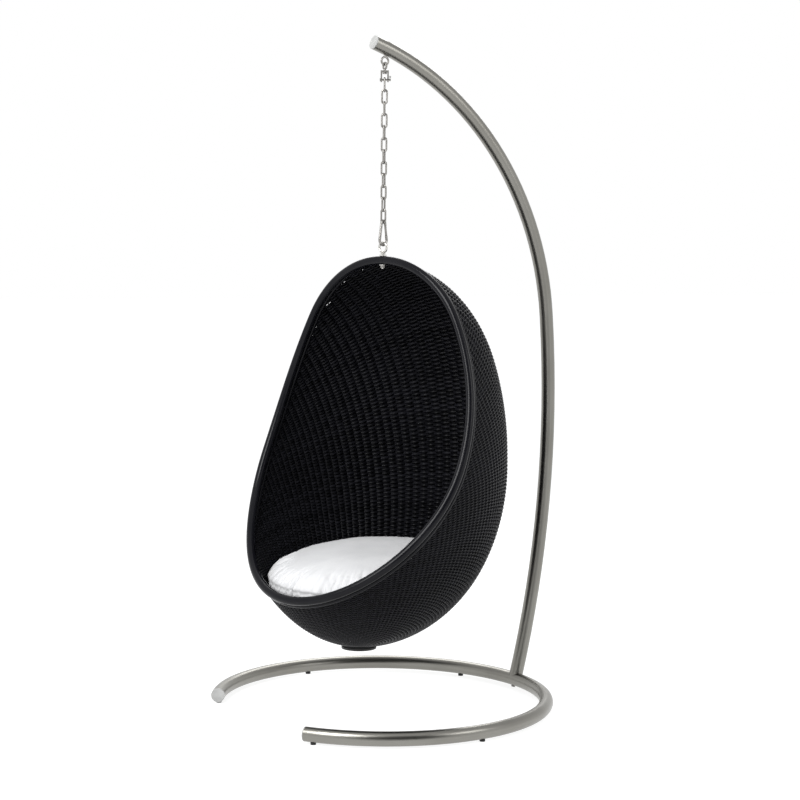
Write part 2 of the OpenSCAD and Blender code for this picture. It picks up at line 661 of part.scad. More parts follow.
module base_disc() color(black) on_axis(chair_yaw) translate([0, -base_front, flat_z - seat_gap - base_t]) {
    cylinder(d = base_d, h = base_t - 3);
    translate([0, 0, base_t - 3]) cylinder(d = base_d - 12, h = 3);
}

module cushion() color(canvas) on_axis(chair_yaw) translate([0, -cushion_front, cushion_z])
    rotate([cushion_tilt, 0, 0]) rotate_extrude() polygon(concat([[0, -cushion_down]],
        [for (i = [1 - cushion_steps:cushion_steps - 1]) cushion_pt(i * 90 / cushion_steps)],
        [[0, cushion_up]]));

ring_long_tube();
ring_short_tube();
ring_sleeve();
ring_end_plugs();
ring_feet();
mast();
mast_spigot();
mast_bolt();
mast_washer();
mast_end_cap();
top_eye();
swivel_eye();
swivel_washer();
swivel_jaw();
jaw_pin();
jaw_split_pin();
chain_link(0);  // chain_link_01
chain_link(1);  // chain_link_02
chain_link(2);  // chain_link_03
chain_link(3);  // chain_link_04
chain_link(4);  // chain_link_05
chain_link(5);  // chain_link_06
chain_link(6);  // chain_link_07
chain_link(7);  // chain_link_08
chain_link(8);  // chain_link_09
chain_link(9);  // chain_link_10
chain_link(10);  // chain_link_11
chain_link(11);  // chain_link_12
carabiner_body();
carabiner_gate();
gate_pin();
gate_spring();
chair_eye();
eye_washer();
eye_nut();
rim_tube();
border_rod();
woven_shell();
base_disc();
cushion();
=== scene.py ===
"""Finishes the hanging egg chair: steel stand, chain, woven egg, painted rim and round cushion."""

import json
import math

import bpy
import numpy as np
from mathutils import Matrix, Vector

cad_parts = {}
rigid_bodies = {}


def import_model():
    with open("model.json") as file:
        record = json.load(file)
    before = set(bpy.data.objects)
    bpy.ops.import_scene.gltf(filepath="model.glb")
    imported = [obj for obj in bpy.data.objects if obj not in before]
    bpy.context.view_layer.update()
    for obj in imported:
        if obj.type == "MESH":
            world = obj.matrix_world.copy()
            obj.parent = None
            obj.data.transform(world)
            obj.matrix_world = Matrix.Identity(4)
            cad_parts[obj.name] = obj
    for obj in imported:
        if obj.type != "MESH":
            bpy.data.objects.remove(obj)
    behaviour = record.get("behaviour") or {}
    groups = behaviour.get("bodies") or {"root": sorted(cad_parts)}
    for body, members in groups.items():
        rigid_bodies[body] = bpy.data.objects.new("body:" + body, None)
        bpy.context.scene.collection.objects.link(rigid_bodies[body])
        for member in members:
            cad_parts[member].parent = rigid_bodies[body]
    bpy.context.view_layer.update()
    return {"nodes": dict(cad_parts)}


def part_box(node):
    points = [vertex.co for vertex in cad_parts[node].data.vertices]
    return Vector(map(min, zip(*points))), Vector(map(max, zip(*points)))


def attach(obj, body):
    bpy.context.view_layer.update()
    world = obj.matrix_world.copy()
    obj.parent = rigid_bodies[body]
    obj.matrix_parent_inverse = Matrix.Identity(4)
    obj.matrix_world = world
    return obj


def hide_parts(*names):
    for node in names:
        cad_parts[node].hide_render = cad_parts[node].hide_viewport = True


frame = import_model()
nodes = frame["nodes"]
scene = bpy.context.scene
rng = np.random.default_rng(11)

RING_R, TUBE_R = 0.495, 0.021
CHAIR_YAW = math.radians(16)
# The hanging axis and the ring's centre, from the solids
axis_y = sum(v.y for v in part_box("swivel_eye")) / 2
ring_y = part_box("ring_long_tube")[1].y - (RING_R + TUBE_R)


def add_node(tree, kind, links=(), **settings):
    """Adds a node, sets it up, and joins or fills its inputs."""
    made = tree.nodes.new(kind)
    for key, value in settings.items():
        setattr(made, key, value)
    for socket, source in dict(links).items():
        if isinstance(source, bpy.types.NodeSocket):
            tree.links.new(source, made.inputs[socket])
        else:
            made.inputs[socket].default_value = source
    return made


# ---------------------------------------------------------------- camera and light

# Tone of the studio behind the camera and overhead, as shiny pieces show it, and where it lies
DIM_FRONT, DIM_CEILING = 0.03, 0.75
FRONT_AZIMUTH, FRONT_RISE = math.radians(70), math.radians(24)
FLOOR_HALF = 40


def set_camera():
    """Stands the camera in front of the ring's open side, a little above the seat."""
    reach, height, around = 5.70375, 1.38118, math.radians(58)
    pitch, pan, roll = (math.radians(a) for a in (4.5444, 0.4585, 0.6))
    right = Vector((math.cos(pan), -math.sin(pan), 0))
    ahead = Vector((math.sin(pan) * math.cos(pitch), math.cos(pan) * math.cos(pitch), -math.sin(pitch)))
    up = right.cross(ahead)
    across = right * math.cos(roll) + up * math.sin(roll)
    upright = up * math.cos(roll) - right * math.sin(roll)
    turn = Matrix((across, upright, -ahead)).transposed().to_4x4()
    camera = bpy.data.objects.new("camera", bpy.data.cameras.new("camera"))
    camera.data.lens = 86.288
    camera.data.sensor_width = 36
    camera.data.clip_end = 60
    scene.collection.objects.link(camera)
    camera.matrix_world = (
        Matrix.Translation((0, ring_y, 0)) @ Matrix.Rotation(around, 4, "Z")
        @ Matrix.Translation((0, -reach, height)) @ turn
    )
    scene.camera = camera


def lamp(name, azimuth, elevation, distance, size, power, target=(0, -0.1, 0.9)):
    """A square soft lamp that faces the chair. Azimuth 58 is the camera's side."""
    a, e = math.radians(azimuth), math.radians(elevation)
    data = bpy.data.lights.new(name, "AREA")
    data.energy, data.size = power, size
    lamp_object = bpy.data.objects.new(name, data)
    scene.collection.objects.link(lamp_object)
    back = Vector((math.sin(a) * math.cos(e), -math.cos(a) * math.cos(e), math.sin(e)))
    lamp_object.location = Vector(target) + back * distance
    lamp_object.rotation_euler = back.to_track_quat("Z", "Y").to_euler()


def pale_to_sight(tree, plain, seen):
    """Joins a shader for light with one for what the camera and reflections see."""
    path = add_node(tree, "ShaderNodeLightPath").outputs
    sight = add_node(tree, "ShaderNodeMath", {0: path["Is Camera Ray"], 1: path["Is Glossy Ray"]}, operation="MAXIMUM")
    sight = add_node(tree, "ShaderNodeMath", {0: sight.outputs[0], 1: path["Is Transmission Ray"]}, operation="MAXIMUM")
    return add_node(tree, "ShaderNodeMixShader", {0: sight.outputs[0], 1: plain, 2: seen}).outputs[0]


def room_tone(tree):
    """White paper all round, under a dim ceiling and beside a dim patch behind the camera."""
    way = add_node(tree, "ShaderNodeTexCoord").outputs["Generated"]

    def fade(toward, start, end, low):
        """White, down to low where the way points more and more toward."""
        along = add_node(tree, "ShaderNodeVectorMath", {0: way, 1: toward}, operation="DOT_PRODUCT").outputs["Value"]
        steps = {0: along, 1: start, 2: end, 3: 1.0, 4: low}
        return add_node(tree, "ShaderNodeMapRange", steps, interpolation_type="SMOOTHSTEP").outputs[0]

    level = math.cos(FRONT_RISE)
    front = (math.sin(FRONT_AZIMUTH) * level, -math.cos(FRONT_AZIMUTH) * level, math.sin(FRONT_RISE))
    both = {0: fade(front, 0.80, 0.93, DIM_FRONT), 1: fade((0, 0, 1), 0.18, 0.60, DIM_CEILING)}
    return add_node(tree, "ShaderNodeMath", both, operation="MULTIPLY").outputs[0]


def set_studio():
    """A pale studio: white background, white floor that keeps a faint shadow, soft lamps."""
    scene.view_settings.view_transform = "Standard"
    world = bpy.data.worlds.new("pale_studio")
    scene.world = world
    world.use_nodes = True
    tree = world.node_tree
    tree.nodes.clear()
    fill = add_node(tree, "ShaderNodeBackground", {"Color": (0.96, 0.98, 1, 1), "Strength": 0.55})
    seen = add_node(tree, "ShaderNodeBackground", {"Color": room_tone(tree)})
    add_node(tree, "ShaderNodeOutputWorld", {0: pale_to_sight(tree, fill.outputs[0], seen.outputs[0])})

    floor_mesh = bpy.data.meshes.new("studio_floor")
    corners = [(x * FLOOR_HALF, y * FLOOR_HALF, 0) for x, y in ((-1, -1), (1, -1), (1, 1), (-1, 1))]
    floor_mesh.from_pydata(corners, [], [(0, 1, 2, 3)])
    floor = bpy.data.objects.new("studio_floor", floor_mesh)
    scene.collection.objects.link(floor)
    finish = bpy.data.materials.new("studio_floor")
    finish.use_nodes = True
    tree = finish.node_tree
    tree.nodes.clear()
    paint = add_node(tree, "ShaderNodeBsdfDiffuse", {"Color": (0.82, 0.82, 0.82, 1)})
    faint = add_node(tree, "ShaderNodeBsdfDiffuse", {"Color": (0.35, 0.35, 0.35, 1)})
    glow = add_node(tree, "ShaderNodeEmission", {"Strength": 0.86})
    both = add_node(tree, "ShaderNodeAddShader", {0: faint.outputs[0], 1: glow.outputs[0]})
    add_node(tree, "ShaderNodeOutputMaterial", {0: pale_to_sight(tree, paint.outputs[0], both.outputs[0])})
    floor_mesh.materials.append(finish)

    lamp("key_lamp", 20, 38, 4.2, 2.2, 155)
    lamp("side_lamp", 118, 25, 4.2, 1.6, 25)
    lamp("back_lamp", 235, 35, 4.5, 2.4, 70)


# ---------------------------------------------------------------- materials

class Finish:
    """A procedural material, built a node at a time around one Principled shader."""

    def __init__(self, name, color, roughness, metallic=0.0, **sockets):
        self.material = bpy.data.materials.new(name)
        self.material.use_nodes = True
        self.tree = self.material.node_tree
        self.shader = self.tree.nodes["Principled BSDF"]
        self.shader.inputs["Base Color"].default_value = (*color, 1)
        self.shader.inputs["Roughness"].default_value = roughness
        self.shader.inputs["Metallic"].default_value = metallic
        for key, value in sockets.items():
            self.shader.inputs[key.replace("_", " ")].default_value = value
        self.place = self.tree.nodes.new("ShaderNodeTexCoord").outputs["Object"]

    def node(self, kind, links=(), **settings):
        return add_node(self.tree, kind, links, **settings)

    def math(self, operation, a, b=0.0):
        return self.node("ShaderNodeMath", {0: a, 1: b}, operation=operation).outputs[0]

    def share(self, a, part, b):
        """Part of a, and the rest of b."""
        return self.math("ADD", self.math("MULTIPLY", a, part), self.math("MULTIPLY", b, 1 - part))

    def noise(self, scale, detail=2.0, vector=None, roughness=0.5):
        links = {"Vector": vector or self.place, "Scale": scale, "Detail": detail, "Roughness": roughness}
        return self.node("ShaderNodeTexNoise", links).outputs["Fac"]

    def attribute(self, name):
        return self.node("ShaderNodeAttribute", attribute_name=name).outputs["Fac"]

    def ramp(self, value, low, high, a, b):
        """Value between low and high, turned into a colour between a and b."""
        made = self.node("ShaderNodeMapRange", {0: value, 1: low, 2: high, 3: 0.0, 4: 1.0})
        mix = self.node("ShaderNodeMix", {"Factor": made.outputs[0]}, data_type="RGBA")
        mix.inputs[6].default_value = (*a, 1)
        mix.inputs[7].default_value = (*b, 1)
        return mix.outputs[2]

    def span(self, value, low, high, a, b):
        """Value between low and high, turned into a number between a and b."""
        return self.node("ShaderNodeMapRange", {0: value, 1: low, 2: high, 3: a, 4: b}).outputs[0]

    def paint(self, source):
        self.tree.links.new(source, self.shader.inputs["Base Color"])

    def rough(self, source):
        self.tree.links.new(source, self.shader.inputs["Roughness"])

    def bump(self, height, distance, strength=1.0):
        made = self.node("ShaderNodeBump", {"Height": height, "Distance": distance, "Strength": strength})
        self.tree.links.new(made.outputs[0], self.shader.inputs["Normal"])


def tube_steel(name, around_ring):
    """Brushed tube: fine lines that run along it, and a slow change of tone."""
    f = Finish(name, (0.25, 0.244, 0.225), 0.32, 1.0)
    xyz = f.node("ShaderNodeSeparateXYZ", {0: f.place})
    if around_ring:
        y = f.math("SUBTRACT", xyz.outputs[1], ring_y)
        squares = (f.math("MULTIPLY", v, v) for v in (xyz.outputs[0], y))
        out = f.math("SQRT", f.math("ADD", *squares))
        lines = f.node("ShaderNodeCombineXYZ", {0: out, 1: xyz.outputs[2]}).outputs[0]
    else:
        lines = f.node("ShaderNodeCombineXYZ", {0: xyz.outputs[0]}).outputs[0]
    brushed = f.noise(1400, 3, lines, 0.7)
    slow = f.noise(6, 3)
    tone = f.share(brushed, 0.6, slow)
    f.paint(f.ramp(tone, 0.3, 0.7, (0.205, 0.198, 0.178), (0.29, 0.284, 0.262)))
    f.rough(f.span(tone, 0.3, 0.7, 0.36, 0.26))
    f.bump(brushed, 0.00012, 0.35)
    return f.material


def plated_steel(name, color, roughness):
    """Zinc or nickel on small forged pieces: spangle and rubbed spots."""
    f = Finish(name, color, roughness, 1.0)
    spangle, rubbed = f.noise(420, 3), f.noise(60, 2)
    low = tuple(c * 0.72 for c in color)
    high = tuple(min(1, c * 1.25) for c in color)
    f.paint(f.ramp(f.share(spangle, 0.5, rubbed), 0.35, 0.65, low, high))
    f.rough(f.span(rubbed, 0.35, 0.65, roughness + 0.1, roughness - 0.08))
    f.bump(spangle, 0.0002, 0.3)
    return f.material


def rim_paint():
    """Satin black powder coat with a fine grain."""
    f = Finish("rim_powder_coat", (0.010, 0.010, 0.012), 0.2, Specular_IOR_Level=0.14)
    grain, worn = f.noise(1600, 2), f.noise(9, 4)
    f.paint(f.ramp(worn, 0.4, 0.7, (0.006, 0.006, 0.008), (0.010, 0.010, 0.012)))
    f.rough(f.span(worn, 0.3, 0.7, 0.14, 0.20))
    f.bump(grain, 0.0002, 0.3)
    return f.material


def cane_plastic():
    """Black woven cane: each strand has its own tone, with a fine speckled grain."""
    f = Finish("black_cane", (0.006, 0.006, 0.007), 0.36, Specular_IOR_Level=0.11)
    tone = f.attribute("strand_tone")
    dust, speck = f.noise(7, 3), f.noise(900, 2)
    f.paint(f.ramp(f.share(tone, 0.6, dust), 0.2, 0.8, (0.004, 0.004, 0.005), (0.010, 0.010, 0.013)))
    f.rough(f.span(f.math("ADD", tone, speck), 0.5, 1.5, 0.3, 0.46))
    f.bump(speck, 0.0003, 0.25)
    return f.material


THREAD_PITCH = 0.0011


def canvas():
    """Off-white canvas: crossed threads, a soft sheen and slightly uneven colour."""
    f = Finish("offwhite_canvas", (0.80, 0.80, 0.81), 0.92, 0.0, Sheen_Weight=0.25, Sheen_Roughness=0.5)
    xyz = f.node("ShaderNodeSeparateXYZ", {0: f.place})
    waves = (f.math("SINE", f.math("MULTIPLY", xyz.outputs[i], 2 * math.pi / THREAD_PITCH)) for i in (0, 1))
    threads = f.math("MULTIPLY", *waves)
    slub, cloudy = f.noise(350, 3), f.noise(14, 3)
    f.paint(f.ramp(f.share(cloudy, 0.6, slub), 0.35, 0.65, (0.76, 0.76, 0.77), (0.84, 0.84, 0.845)))
    f.bump(f.math("ADD", f.math("MULTIPLY", threads, 0.5), slub), 0.00035, 0.5)
    return f.material


def moulded(name, color, roughness, grain=700):
    """Moulded plastic or rubber with a fine grain."""
    f = Finish(name, color, roughness)
    fine, slow = f.noise(grain, 2), f.noise(25, 3)
    f.paint(f.ramp(slow, 0.35, 0.65, tuple(c * 0.85 for c in color), tuple(c * 1.12 for c in color)))
    f.rough(f.span(fine, 0.35, 0.65, roughness - 0.06, roughness + 0.08))
    f.bump(fine, 0.0003, 0.4)
    return f.material


def dress_nodes():
    """Gives the nodes that stay as solids their materials."""
    zinc = [n for n in nodes if n.startswith("chain_link")] + [
        "top_eye", "swivel_eye", "swivel_washer", "swivel_jaw", "jaw_pin", "jaw_split_pin", "carabiner_body",
        "carabiner_gate", "gate_pin", "gate_spring", "ring_sleeve", "mast_spigot", "mast_bolt", "mast_washer", "eye_nut"]
    finishes = {
        tube_steel("brushed_ring_tube", True): ("ring_long_tube", "ring_short_tube"),
        tube_steel("brushed_mast_tube", False): ("mast",),
        moulded("grey_end_plug", (0.48, 0.48, 0.47), 0.45): ("ring_end_plugs", "mast_end_cap"),
        moulded("foot_rubber", (0.02, 0.02, 0.02), 0.7): ("ring_feet",),
        moulded("black_disc", (0.014, 0.014, 0.015), 0.5): ("base_disc",),
        plated_steel("dull_zinc", (0.30, 0.29, 0.275), 0.36): zinc,
        plated_steel("bright_nickel", (0.62, 0.61, 0.58), 0.2): ("chair_eye", "eye_washer"),
    }
    for material, names in finishes.items():
        for name in names:
            nodes[name].data.materials.clear()
            nodes[name].data.materials.append(material)


# ---------------------------------------------------------------- shape of the egg

# The rim's outline: half its width, and the radii of its sides and of its top
HALF_W, SIDE_R, TOP_R = 0.387, 0.880, 0.323
# Radii of the rim tube and of the border rod, and the gap between them
RIM_R, ROD_R, SEAT = 0.013, 0.0065, 0.0003
BORDER = RIM_R + ROD_R + SEAT
# Half sizes of the egg from its middle, and how full its upper half is (2 is an ellipse)
EGG_SIDE, EGG_BACK, EGG_FRONT, EGG_UP, EGG_DOWN, FULL_TOP = 0.388, 0.516, 0.428, 0.590, 0.548, 2.3
TOP_C = math.sqrt((SIDE_R - TOP_R) ** 2 - (SIDE_R - HALF_W) ** 2)
SIDE_TURN = math.atan2(TOP_C, SIDE_R - HALF_W)
SIDE_L, CAP_L = SIDE_R * SIDE_TURN, TOP_R * (math.pi / 2 - SIDE_TURN)
RIM_H = TOP_C + TOP_R + HALF_W
rim_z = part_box("rim_tube")[1].z - RIM_R
flat_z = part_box("woven_shell")[0].z
MIDDLE = np.array([0, -0.110, rim_z - 0.620])
MOUTH = np.array([0, -math.cos(math.radians(12)), math.sin(math.radians(12))])
SIDEWAYS, UPWARDS = np.array([1.0, 0, 0]), np.array([0, MOUTH[2], -MOUTH[1]])


def rim_points(u):
    """Points of the rim's centreline at angles u, in radians, in the chair's own frame."""
    u = np.asarray(u) % (2 * math.pi)
    folded = np.where(u > math.pi / 2, math.pi - u, u)
    length = np.clip(folded / (math.pi / 2), 0, 1) * (SIDE_L + CAP_L)
    t = length / SIDE_R
    cap = SIDE_TURN + (length - SIDE_L) / TOP_R
    x = np.where(length < SIDE_L, HALF_W - SIDE_R + SIDE_R * np.cos(t), TOP_R * np.cos(cap))
    h = np.where(length < SIDE_L, SIDE_R * np.sin(t), TOP_C + TOP_R * np.sin(cap))
    x = np.where(u > math.pi / 2, -x, x)
    low = u > math.pi
    x, h = np.where(low, HALF_W * np.cos(u), x), np.where(low, HALF_W * np.sin(u), h)
    s = (TOP_C + TOP_R - h) / RIM_H
    b = 4 * s * (1 - s)
    return np.stack([x, -0.385 * s + 0.137 * b + 0.031 * b * (2 * s - 1), rim_z - s * RIM_H], -1)


def egg_radius(d):
    """Distance from the egg's middle to its wall in directions d, before the rim draws it in."""
    deep = np.where(d[..., 1] > 0, EGG_BACK, EGG_FRONT)
    tall = np.where(d[..., 2] > 0, EGG_UP, EGG_DOWN)
    n = np.where(d[..., 2] > 0, FULL_TOP, 2.0)
    flat = (d[..., 0] / EGG_SIDE) ** 2 + (d[..., 1] / deep) ** 2
    return (flat ** (n / 2) + (np.abs(d[..., 2]) / tall) ** n) ** (-1 / n)


def unit(v):
    return v / np.linalg.norm(v, axis=-1, keepdims=True)


class Egg:
    """The middle surface of the woven wall, found from a direction out of the egg's middle."""

    def __init__(self):
        u = np.linspace(0, 2 * math.pi, 1441)[:-1]
        rim = rim_points(u)
        arm = rim - MIDDLE
        d = unit(arm)
        side = unit(d - (d @ MOUTH)[:, None] * MOUTH)
        turn = np.unwrap(np.arctan2(side @ UPWARDS, side @ SIDEWAYS))
        order = np.argsort(turn % (2 * math.pi))
        self.turn = (turn % (2 * math.pi))[order]
        self.beta = np.arccos(d @ MOUTH)[order]
        self.draw = (np.linalg.norm(arm, axis=1) / egg_radius(d) - 1)[order]
        self.rim, self.side = rim[order], side[order]
        half = math.radians(0.5)
        self.way = unit(rim_points(u + half) - rim_points(u - half))[order]
        self.edge = self.edge_at(BORDER)

    def on_rays(self, v):
        """Wall points on the rays to the rim, with v from 0 at the back to 1 at the rim."""
        b = math.pi + (self.beta - math.pi) * v
        d = np.cos(b)[:, None] * MOUTH + np.sin(b)[:, None] * self.side
        h = np.clip((v - 0.35) / 0.65, 0, 1)
        return MIDDLE + d * (egg_radius(d) * (1 + self.draw * h * h * (3 - 2 * h)))[:, None]

    def edge_at(self, away):
        """Where the wall comes as near as away to the rim's centreline, on each ray."""
        low, high = np.full(len(self.turn), 0.8), np.ones(len(self.turn))
        for _ in range(16):
            m = (low + high) / 2
            w = self.on_rays(m) - self.rim
            far = np.linalg.norm(w - np.sum(w * self.way, 1, keepdims=True) * self.way, axis=1) > away
            low, high = np.where(far, m, low), np.where(far, high, m)
        return (low + high) / 2

    def look_up(self, turn, values):
        return np.interp(turn % (2 * math.pi), self.turn, values, period=2 * math.pi)

    def point(self, d):
        """Surface point in direction d, and how far it lies inside the border rod (below 0 is outside)."""
        turn = np.arctan2(d @ UPWARDS, d @ SIDEWAYS)
        b = np.arccos(np.clip(d @ MOUTH, -1, 1))
        v = (math.pi - b) / (math.pi - self.look_up(turn, self.beta))
        h = np.clip((v - 0.35) / 0.65, 0, 1)
        p = MIDDLE + d * (egg_radius(d) * (1 + self.look_up(turn, self.draw) * h * h * (3 - 2 * h)))[..., None]
        p[..., 2] = np.maximum(p[..., 2], flat_z + 0.003)
        return p, self.look_up(turn, self.edge) - v


egg = Egg()


def to_row(p):
    """From the chair's own frame to the part's frame."""
    c, s = math.cos(CHAIR_YAW), math.sin(CHAIR_YAW)
    return np.stack([p[..., 0] * c - p[..., 1] * s, p[..., 0] * s + p[..., 1] * c + axis_y, p[..., 2]], -1)


# Rows of the weave lean forward more and more towards the top, so that they follow the rim there
LEAN_TOP = math.radians(56)


def weave_direction(row, around):
    """Direction of the weave's grid: row from -pi/2 at the disc up, around from the front."""
    lean = LEAN_TOP * np.clip((row + math.pi / 2) / math.pi, 0, 1) ** 1.3
    x, y, z = np.cos(row) * np.sin(around), -np.cos(row) * np.cos(around), np.sin(row) + 0 * around
    return np.stack([x, y * np.cos(lean) - z * np.sin(lean), y * np.sin(lean) + z * np.cos(lean)], -1)


# ---------------------------------------------------------------- strands and tubes

def strand_tree():
    """Turns drawn lines into oval strands that rise and dip along the wall's normal."""
    tree = bpy.data.node_groups.new("woven_strands", "GeometryNodeTree")
    face = tree.interface
    face.new_socket("Lines", in_out="INPUT", socket_type="NodeSocketGeometry")
    for name, value in (("Width", 0.006), ("Thickness", 0.0024), ("Depth", 0.0)):
        face.new_socket(name, in_out="INPUT", socket_type="NodeSocketFloat").default_value = value
    face.new_socket("Sides", in_out="INPUT", socket_type="NodeSocketInt").default_value = 6
    face.new_socket("Finish", in_out="INPUT", socket_type="NodeSocketMaterial")
    face.new_socket("Strands", in_out="OUTPUT", socket_type="NodeSocketGeometry")

    def add(kind, links=(), **settings):
        return add_node(tree, kind, links, **settings)

    start = add("NodeGroupInput").outputs
    normal = add("GeometryNodeInputNamedAttribute", {"Name": "wall_normal"}, data_type="FLOAT_VECTOR").outputs[0]
    rise = add("GeometryNodeInputNamedAttribute", {"Name": "rise"}, data_type="FLOAT").outputs[0]
    height = add("ShaderNodeMath", {0: rise, 1: start["Depth"]}, operation="MULTIPLY").outputs[0]
    shift = add("ShaderNodeVectorMath", {0: normal, "Scale": height}, operation="SCALE").outputs[0]
    curves = add("GeometryNodeMeshToCurve", {0: start["Lines"]}).outputs[0]
    moved = add("GeometryNodeSetPosition", {"Geometry": curves, "Offset": shift}).outputs[0]
    faced = add("GeometryNodeSetCurveNormal", {"Curve": moved, "Normal": normal}, mode="FREE").outputs[0]
    ring = add("GeometryNodeCurvePrimitiveCircle", {"Resolution": start["Sides"], "Radius": 0.5})
    scale = add("ShaderNodeCombineXYZ", {0: start["Thickness"], 1: start["Width"], 2: 1.0}).outputs[0]
    section = add("GeometryNodeTransform", {"Geometry": ring.outputs[0], "Scale": scale}).outputs[0]
    swell = add("GeometryNodeInputNamedAttribute", {"Name": "swell"}, data_type="FLOAT").outputs[0]
    swept = add("GeometryNodeCurveToMesh", {
        "Curve": faced, "Profile Curve": section, "Scale": swell, "Fill Caps": True}).outputs[0]
    smooth = add("GeometryNodeSetShadeSmooth", {"Geometry": swept}).outputs[0]
    real = add("GeometryNodeRealizeInstances", {"Geometry": smooth}).outputs[0]
    done = add("GeometryNodeSetMaterial", {"Geometry": real, "Material": start["Finish"]}).outputs[0]
    add("NodeGroupOutput", {0: done})
    return tree


strands = strand_tree()


def sweep(name, lines, material, width, thickness, depth=0.0, sides=6):
    """One piece made of swept lines. Each line is points, normals, rise, swell and tone, and may be closed."""
    points, edges, normals, rises, swells, tones, start = [], [], [], [], [], [], 0
    for p, n, r, swell, tone, closed in lines:
        k = len(p)
        points.append(p), normals.append(n), rises.append(r)
        swells.append(swell), tones.append(np.full(k, tone))
        links = [(start + i, start + i + 1) for i in range(k - 1)]
        edges += links + ([(start + k - 1, start)] if closed else [])
        start += k
    drawn = bpy.data.meshes.new(name + "_lines")
    drawn.from_pydata(np.concatenate(points).tolist(), edges, [])
    for key, kind, field, values in (
        ("wall_normal", "FLOAT_VECTOR", "vector", normals), ("rise", "FLOAT", "value", rises),
        ("swell", "FLOAT", "value", swells), ("strand_tone", "FLOAT", "value", tones)):
        held = np.concatenate(values).astype(np.float32).ravel()
        drawn.attributes.new(key, kind, "POINT").data.foreach_set(field, held)
    holder = bpy.data.objects.new(name + "_lines", drawn)
    scene.collection.objects.link(holder)
    modifier = holder.modifiers.new("strands", "NODES")
    modifier.node_group = strands
    given = {"Width": width, "Thickness": thickness, "Depth": depth, "Sides": sides, "Finish": material}
    for item in strands.interface.items_tree:
        if item.in_out == "INPUT" and item.name in given:
            modifier[item.identifier] = given[item.name]
    depsgraph = bpy.context.evaluated_depsgraph_get()
    mesh = bpy.data.meshes.new_from_object(holder.evaluated_get(depsgraph), depsgraph=depsgraph)
    mesh.name = name
    for key in ("wall_normal", "rise", "swell"):
        if key in mesh.attributes:
            mesh.attributes.remove(mesh.attributes[key])
    bpy.data.objects.remove(holder)
    piece = bpy.data.objects.new(name, mesh)
    scene.collection.objects.link(piece)
    return piece


def normals_of(p, across, along):
    """Outward unit normals of the wall at points p, from two steps along the surface."""
    n = unit(np.cross(across, along))
    out = np.sum(n * (p - MIDDLE), -1, keepdims=True)
    return np.where(out < 0, -n, n)


def grid_line(row, around):
    """Points, normals, room inside the rod, and metres to a radian of row and of angle, along a grid line."""
    e = 0.004
    p, room = egg.point(weave_direction(row, around))
    across = egg.point(weave_direction(row, around + e))[0] - p
    along = egg.point(weave_direction(row + e, around))[0] - p
    growth, spread = np.linalg.norm(along, axis=1) / e, np.linalg.norm(across, axis=1) / e
    return p, normals_of(p, across, along), room, growth, spread


def inside_runs(room):
    """Index runs where room is positive."""
    keep = room > 0
    runs, begin = [], None
    for i, k in enumerate(keep):
        if k and begin is None:
            begin = i
        if not k and begin is not None:
            runs.append((begin, i))
            begin = None
    if begin is not None:
        runs.append((begin, len(keep)))
    return runs


# Number of stakes, points from one stake to the next, height of a row, and a strand's width in rows
STAKES, STEPS, PITCH, COVER = 120, 4, 0.0070, 1.5
FIRST_ROW = -math.pi / 2 + 0.088
STAKE_WIDTH, WEFT_THICK, STAKE_THICK, WEFT_WAVE = 0.024, 0.0030, 0.0022, 0.0040
PLAIN_GAP, WEAVE_PIECES = 0.017, 5


def row_levels():
    """Rows at most a pitch apart, wherever they stand furthest from each other."""
    rows = np.linspace(FIRST_ROW, math.pi / 2, 1600)
    widest = np.zeros(len(rows))
    for angle in np.linspace(0, math.pi, 25):
        p, _, room, growth, _ = grid_line(rows, np.full_like(rows, angle))
        widest = np.maximum(widest, np.where(room > 0, growth, 0))
    run = np.concatenate([[0], np.cumsum(widest[1:] * np.diff(rows))])
    return np.interp(np.arange(0, run[-1], PITCH), run, rows)


def weave_lines():
    """Lines of the wefts, from the disc up, and of the stakes."""
    around = np.linspace(0, 2 * math.pi, STAKES * STEPS + 1)
    levels = row_levels()
    wave = np.cos(math.pi * np.arange(len(around)) / STEPS)
    wefts = []
    for i, row in enumerate(levels):
        gap = (levels[i + 1] if i + 1 < len(levels) else 2 * row - levels[i - 1]) - row
        p, n, room, growth, spread = grid_line(np.full_like(around, row), around)
        p, n = to_row(p), turn_only(n)
        rise = wave if i % 2 else -wave
        close = np.clip(growth * gap / PITCH, 0.25, 1)
        # strands press flat over a stake and draw in between stakes
        swell = close * (0.86 + 0.34 * np.abs(wave))
        # and weave flatter where the stakes or the rows stand close together
        apart = spread * 2 * math.pi / STAKES
        rise = rise * (0.35 + 0.65 * close) * np.clip(apart / PLAIN_GAP, 0.12, 1) ** 1.5
        tone = rng.random()
        if room.min() > 0:
            wefts.append((p[:-1], n[:-1], rise[:-1], swell[:-1], tone, True))
            continue
        for a, b in inside_runs(room):
            if b - a > 2:
                wefts.append((p[a:b], n[a:b], rise[a:b], swell[a:b], tone, False))
    rows = np.linspace(FIRST_ROW, math.pi / 2, 110)
    stakes = []
    for j in range(STAKES):
        begin = 0 if j % 2 == 0 else 14
        p, n, room, _, spread = grid_line(rows[begin:], np.full(len(rows) - begin, 2 * math.pi * j / STAKES))
        for a, b in inside_runs(room)[:1]:
            if b - a > 2:
                # flat stakes, as wide as their distance, close the wall between its two faces
                swell = np.clip(spread[a:b] * 2 * math.pi / STAKES / 0.021, 0.3, 1.3)
                stakes.append((to_row(p[a:b]), turn_only(n[a:b]), np.zeros(b - a), swell, rng.random(), False))
    return wefts, stakes


def turn_only(n):
    """Turns directions from the chair's own frame to the part's."""
    c, s = math.cos(CHAIR_YAW), math.sin(CHAIR_YAW)
    return np.stack([n[..., 0] * c - n[..., 1] * s, n[..., 0] * s + n[..., 1] * c, n[..., 2]], -1)


